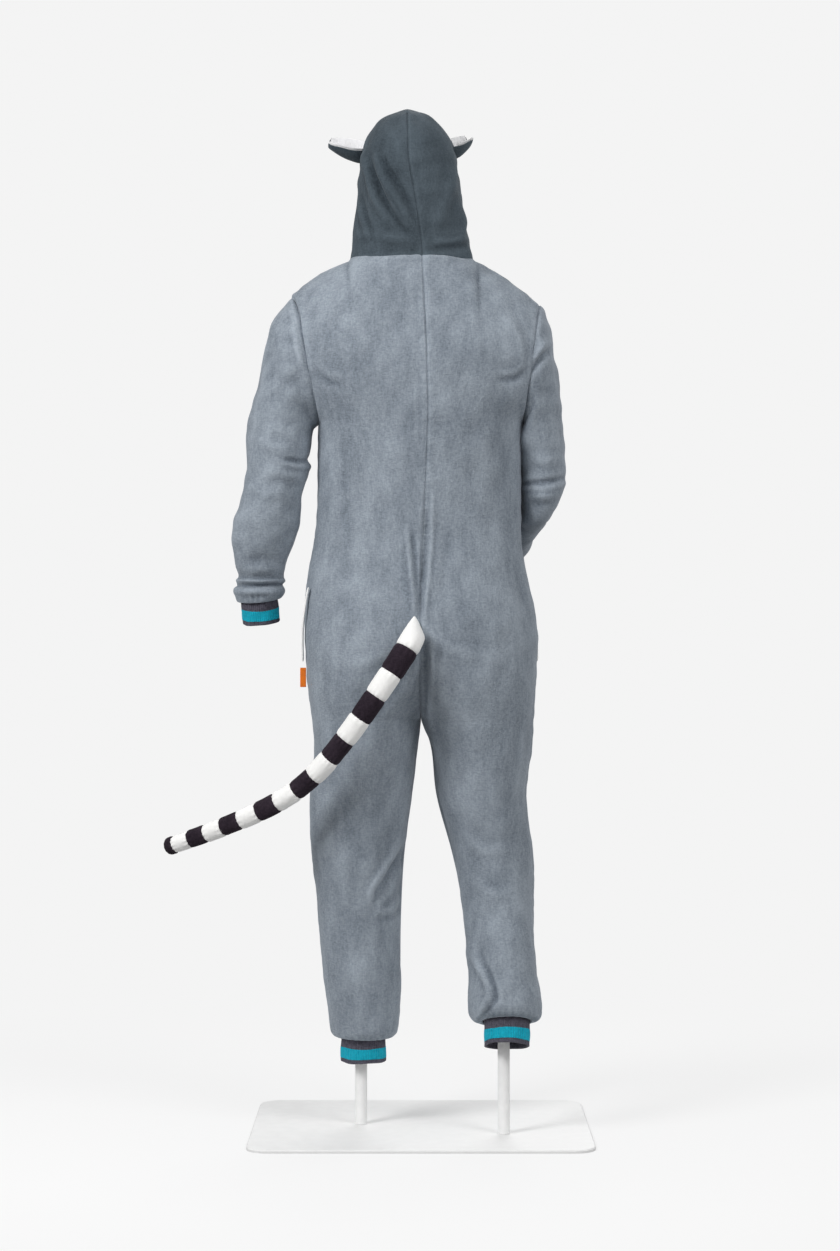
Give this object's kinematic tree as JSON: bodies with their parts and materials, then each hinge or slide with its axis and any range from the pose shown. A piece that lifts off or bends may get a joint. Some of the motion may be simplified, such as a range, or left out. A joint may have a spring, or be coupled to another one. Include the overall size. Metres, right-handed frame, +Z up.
{
  "type": "hooded ring-tailed lemur costume",
  "caption": "Hooded fleece jumpsuit with lemur ears, knitted cuffs and a ringed stuffed tail, empty in its worn shape on a plain display stand.",
  "frame": {"origin": "centre of the underside of the stand's base plate", "axes": "+Z up; +Y the way the costume faces, so its back faces -Y; +X its right side"},
  "size_m": [0.78, 0.5015, 1.8798],
  "materials": {
    "body_fleece": "blue-grey short-pile fleece, brushed and slightly marled",
    "hood_fleece": "dark slate short-pile fleece",
    "rib_knit": "dark grey-purple rib knit",
    "teal_knit": "bright teal rib knit",
    "white_fleece": "off-white short-pile fleece",
    "black_fleece": "near-black fleece with an aubergine tint",
    "zip_metal": "satin metal",
    "orange_webbing": "plain orange woven tape",
    "amber_eye": "glossy amber plastic",
    "nose_felt": "black felt",
    "stand_paint": "pale grey powder coat"
  },
  "bodies": {
    "root": {"ankle_cuff_left": "rib_knit", "ankle_cuff_right": "rib_knit", "ankle_stripe_left": "teal_knit", "ankle_stripe_right": "teal_knit", "back_panel_left": "body_fleece", "back_panel_right": "body_fleece", "ear_back_left": "hood_fleece", "ear_back_right": "hood_fleece", "ear_lining_left": "white_fleece", "ear_lining_right": "white_fleece", "eye_left": "amber_eye", "eye_patch_left": "black_fleece", "eye_patch_right": "black_fleece", "eye_right": "amber_eye", "face_band": "rib_knit", "front_panel_left": "body_fleece", "front_panel_right": "body_fleece", "hood_left": "hood_fleece", "hood_right": "hood_fleece", "nose_patch": "nose_felt", "pocket_welt_left": "white_fleece", "pocket_welt_right": "white_fleece", "side_tab": "orange_webbing", "sleeve_left": "body_fleece", "sleeve_right": "body_fleece", "stand_base": "stand_paint", "stand_rod_left": "stand_paint", "stand_rod_right": "stand_paint", "stand_spreader_left": "stand_paint", "stand_spreader_right": "stand_paint", "tail_01": "white_fleece", "tail_02": "black_fleece", "tail_03": "white_fleece", "tail_04": "black_fleece", "tail_05": "white_fleece", "tail_06": "black_fleece", "tail_07": "white_fleece", "tail_08": "black_fleece", "tail_09": "white_fleece", "tail_10": "black_fleece", "tail_11": "white_fleece", "tail_12": "black_fleece", "tail_13": "white_fleece", "tail_14": "black_fleece", "tail_15": "white_fleece", "tail_16": "black_fleece", "wrist_cuff_left": "rib_knit", "wrist_cuff_right": "rib_knit", "wrist_stripe_left": "teal_knit", "wrist_stripe_right": "teal_knit", "zip_chain": "zip_metal", "zip_pull": "orange_webbing", "zip_slider": "zip_metal"}
  },
  "joints": []
}
